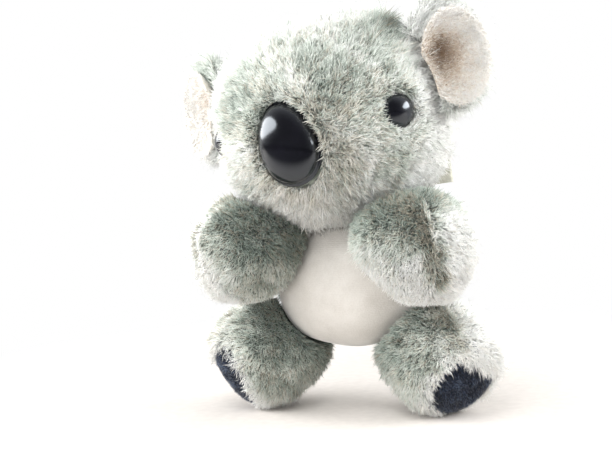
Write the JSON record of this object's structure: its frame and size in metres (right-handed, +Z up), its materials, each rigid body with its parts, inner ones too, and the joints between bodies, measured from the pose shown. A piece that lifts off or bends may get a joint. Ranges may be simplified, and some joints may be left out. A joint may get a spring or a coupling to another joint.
{
  "type": "plush koala toy",
  "caption": "Small standing plush koala with a big turning head, cupped ears, a velour belly and stubby swinging arms and legs.",
  "frame": {"origin": "on the floor, under the middle of the toy's box, measured standing on both feet", "axes": "+Z up, -Y the way that the toy faces, +X the toy's own left"},
  "size_m": [0.105, 0.0726, 0.1242],
  "materials": {
    "plush": "long pile, matte, pale grey-green with paler tips",
    "velour": "short smooth pile, warm white",
    "ear_lining": "short soft pile, cream",
    "felt": "short fuzz, navy blue",
    "stuffing": "loose fibre filling, matte",
    "ribbon": "woven satin ribbon, blank",
    "glossy_black": "glossy",
    "washer": "matte"
  },
  "bodies": {
    "torso": {"torso_back": "plush", "belly_panel": "velour", "torso_stuffing": "stuffing"},
    "head": {"head_cover": "plush", "head_stuffing": "stuffing", "sewn_in_label": "ribbon", "nose": "glossy_black", "nose_washer": "washer", "left_eye": "glossy_black", "left_eye_washer": "washer", "right_eye": "glossy_black", "right_eye_washer": "washer"},
    "left_ear": {"left_ear_back": "plush", "left_ear_lining": "ear_lining"},
    "right_ear": {"right_ear_back": "plush", "right_ear_lining": "ear_lining"},
    "left_arm": {"left_arm_cover": "plush", "left_arm_stuffing": "stuffing"},
    "right_arm": {"right_arm_cover": "plush", "right_arm_stuffing": "stuffing"},
    "left_leg": {"left_leg_cover": "plush", "left_leg_stuffing": "stuffing", "left_sole_pad": "felt"},
    "right_leg": {"right_leg_cover": "plush", "right_leg_stuffing": "stuffing", "right_sole_pad": "felt"}
  },
  "joints": [
    {"name": "neck_turn", "type": "hinge", "parent": "torso", "child": "head", "pos_m": [0.00128, 0.0014, 0.0585], "axis": [0, 0, 1], "range_deg": [-25, 25], "stiffness_Nm_per_rad": 0.01},
    {"name": "left_ear_flex", "type": "hinge", "parent": "head", "child": "left_ear", "pos_m": [0.03311, -0.00568, 0.10533], "axis": [-0.1127, 0.0108, 0.9936], "range_deg": [-12, 12], "stiffness_Nm_per_rad": 0.001},
    {"name": "right_ear_flex", "type": "hinge", "parent": "head", "child": "right_ear", "pos_m": [-0.03391, 0.00077, 0.09565], "axis": [0.1127, -0.0108, -0.9936], "range_deg": [-12, 12], "stiffness_Nm_per_rad": 0.001},
    {"name": "left_shoulder", "type": "hinge", "parent": "torso", "child": "left_arm", "pos_m": [0.01878, -0.0006, 0.05126], "axis": [0, 0, 1], "range_deg": [-5, 30], "stiffness_Nm_per_rad": 0.005},
    {"name": "right_shoulder", "type": "hinge", "parent": "torso", "child": "right_arm", "pos_m": [-0.01122, -0.0006, 0.05126], "axis": [0, 0, -1], "range_deg": [-5, 30], "stiffness_Nm_per_rad": 0.005},
    {"name": "left_hip", "type": "hinge", "parent": "torso", "child": "left_leg", "pos_m": [0.01678, 0.0074, 0.01906], "axis": [0, 0, 1], "range_deg": [-8, 20], "stiffness_Nm_per_rad": 0.02},
    {"name": "right_hip", "type": "hinge", "parent": "torso", "child": "right_leg", "pos_m": [-0.00922, 0.0074, 0.01906], "axis": [0, 0, -1], "range_deg": [-8, 20], "stiffness_Nm_per_rad": 0.02}
  ]
}
